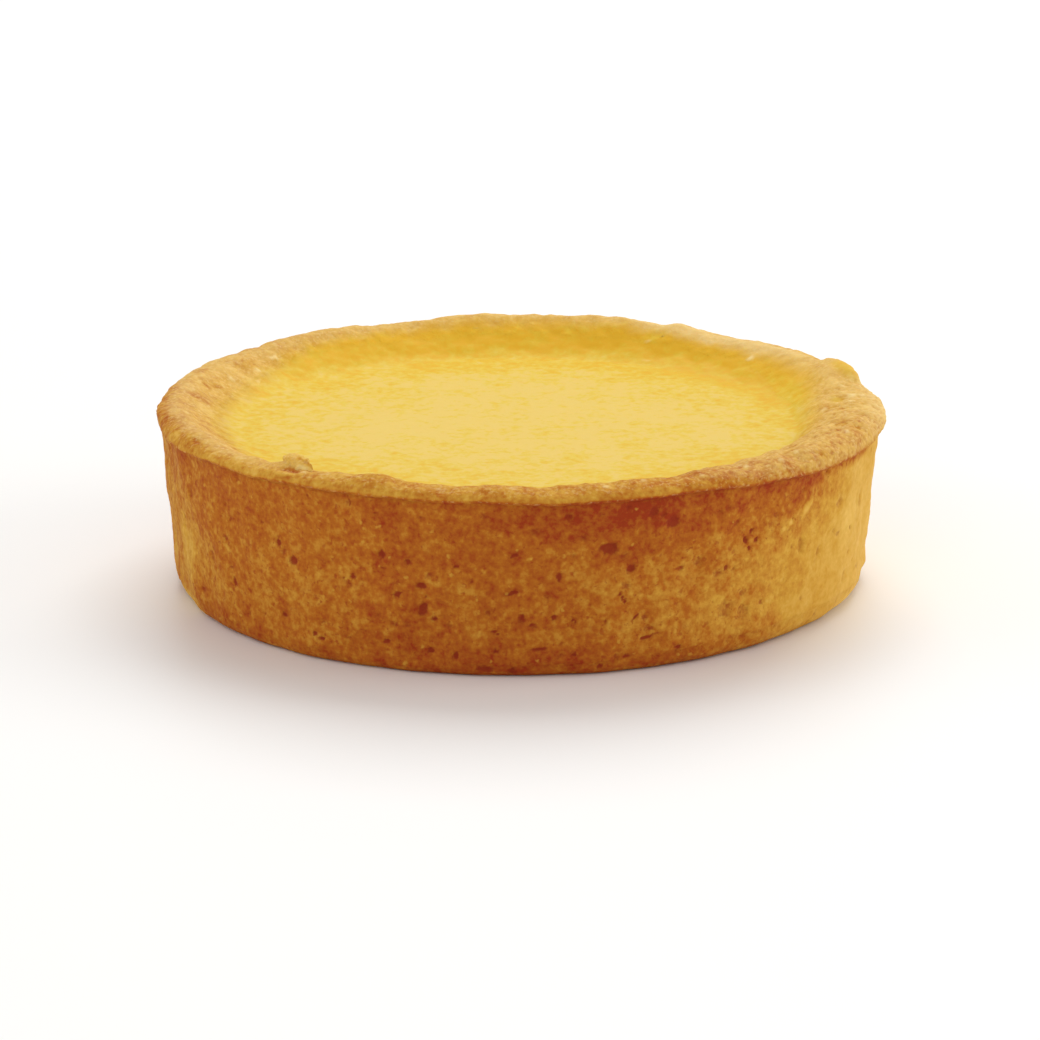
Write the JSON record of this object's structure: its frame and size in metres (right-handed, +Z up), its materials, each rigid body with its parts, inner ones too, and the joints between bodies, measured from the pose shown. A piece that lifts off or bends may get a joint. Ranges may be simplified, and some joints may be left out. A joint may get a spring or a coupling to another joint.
{
  "type": "lemon tartlet",
  "caption": "Round single-portion dessert: a baked shortcrust case with a spread rim, filled with set lemon cream to a little below its crest.",
  "frame": {"origin": "middle of the flat underside, on the surface that the tartlet stands on", "axes": "+Z up out of the filling, -Y towards the side shown in front, +X to its right"},
  "size_m": [0.0819, 0.0821, 0.0216],
  "materials": {
    "baked_pastry": "baked shortcrust, golden brown, pitted and grainy, nearly matte",
    "lemon_filling": "set lemon cream, satin, slightly mottled"
  },
  "bodies": {
    "root": {"pastry_case": "baked_pastry", "lemon_filling": "lemon_filling"}
  },
  "joints": []
}
